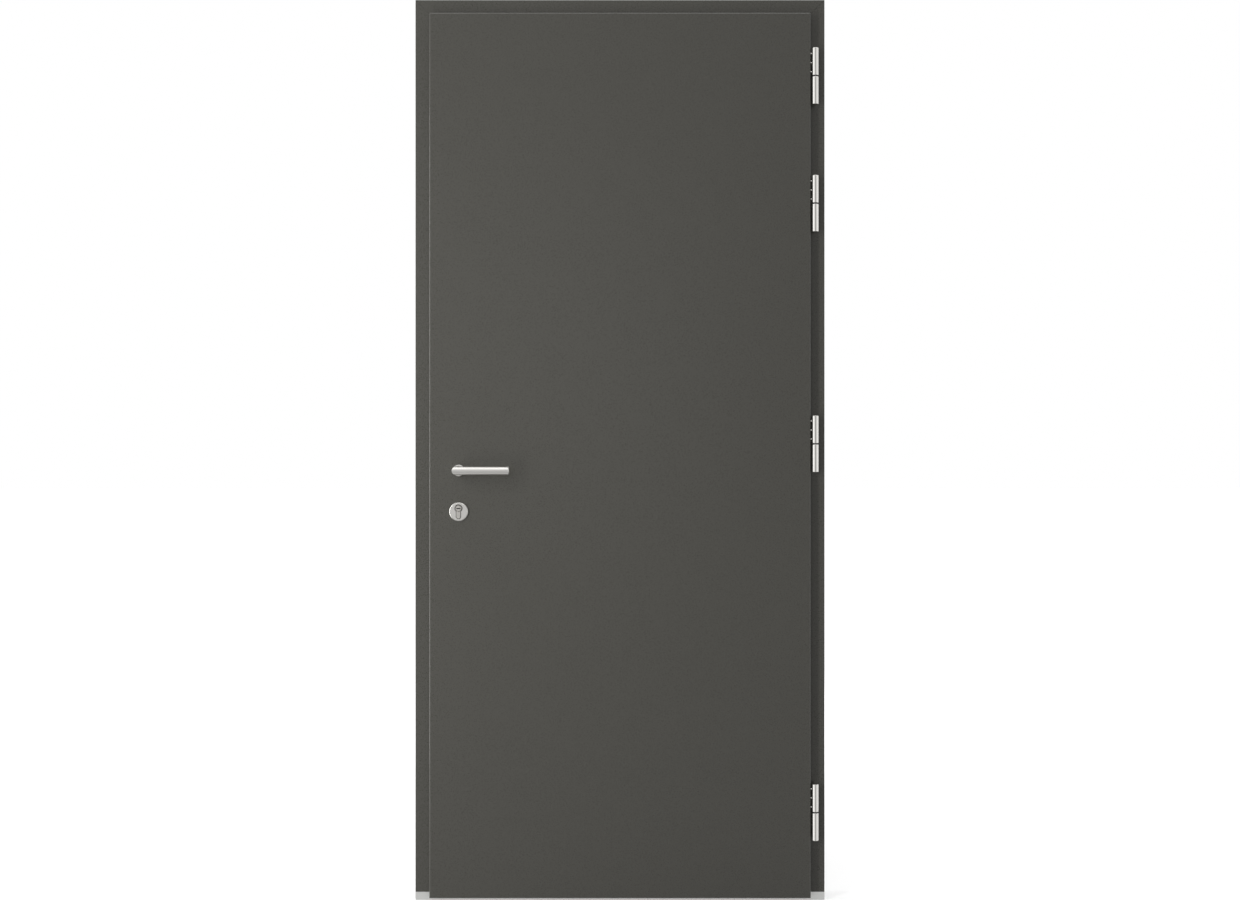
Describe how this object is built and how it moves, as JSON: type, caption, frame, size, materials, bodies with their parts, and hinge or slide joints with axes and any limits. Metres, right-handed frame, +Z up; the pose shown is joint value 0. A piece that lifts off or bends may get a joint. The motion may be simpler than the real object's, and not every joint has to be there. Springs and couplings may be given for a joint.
{
  "type": "aluminium front door",
  "caption": "Flush inward-opening aluminium front door leaf in a mitred thermally broken frame, with barrel hinges, a round lever, a profile cylinder and a low silver threshold.",
  "frame": {"origin": "middle of the threshold's flat underside, at mid depth of the frame", "axes": "+Z up, +X from the lock side to the hinge side, +Y from the room to outdoors"},
  "size_m": [1, 0.2114, 2.2],
  "materials": {
    "umbra_powder_coat": "satin",
    "silver_aluminium": "satin",
    "satin_stainless": "satin",
    "lock_steel": "satin",
    "nickel_plate": "satin",
    "black_polyamide": "matte",
    "seal_rubber": "matte",
    "core_foam": "matte"
  },
  "bodies": {
    "frame": {"head_inner_shell": "umbra_powder_coat", "head_outer_shell": "umbra_powder_coat", "head_thermal_break": "black_polyamide", "hinge_1_frame_barrel": "satin_stainless", "hinge_2_frame_barrel": "satin_stainless", "hinge_3_frame_barrel": "satin_stainless", "hinge_4_frame_barrel": "satin_stainless", "hinge_bearing_rings": "black_polyamide", "hinge_jamb_inner_shell": "umbra_powder_coat", "hinge_jamb_outer_shell": "umbra_powder_coat", "hinge_jamb_thermal_break": "black_polyamide", "hinge_pins": "satin_stainless", "lock_jamb_inner_shell": "umbra_powder_coat", "lock_jamb_outer_shell": "umbra_powder_coat", "lock_jamb_thermal_break": "black_polyamide", "stop_seal": "seal_rubber", "strike_plates": "lock_steel", "threshold_core": "black_polyamide", "threshold_inner_rail": "silver_aluminium", "threshold_outer_rail": "silver_aluminium"},
    "leaf": {"cylinder_plugs": "nickel_plate", "cylinder_rose_inside": "satin_stainless", "cylinder_rose_outside": "satin_stainless", "hinge_1_leaf_barrel": "satin_stainless", "hinge_2_leaf_barrel": "satin_stainless", "hinge_3_leaf_barrel": "satin_stainless", "hinge_4_leaf_barrel": "satin_stainless", "latch_bolt": "lock_steel", "leaf_core": "core_foam", "leaf_inner_skin": "umbra_powder_coat", "leaf_outer_skin": "umbra_powder_coat", "lever_rose_inside": "satin_stainless", "lever_rose_outside": "satin_stainless", "lip_seal": "seal_rubber", "lock_bolts": "lock_steel", "lock_cylinder": "nickel_plate", "lock_forend": "lock_steel", "sash_bottom_rail": "umbra_powder_coat", "sash_hinge_stile": "umbra_powder_coat", "sash_lock_stile": "umbra_powder_coat", "sash_thermal_break": "black_polyamide", "sash_top_rail": "umbra_powder_coat", "sill_seal": "seal_rubber"},
    "lever": {"lever_inside": "satin_stainless", "lever_outside": "satin_stainless", "lever_spindle": "satin_stainless"}
  },
  "joints": [
    {"name": "leaf_swing", "type": "hinge", "parent": "frame", "child": "leaf", "pos_m": [0.4746, -0.062, 1.1], "axis": [0, 0, 1], "range_deg": [0, 110]},
    {"name": "lever_turn", "type": "hinge", "parent": "leaf", "child": "lever", "pos_m": [-0.3915, -0.064, 1.05], "axis": [0, 1, 0], "range_deg": [0, 45], "stiffness_Nm_per_rad": 2, "springref_deg": -28.65}
  ]
}
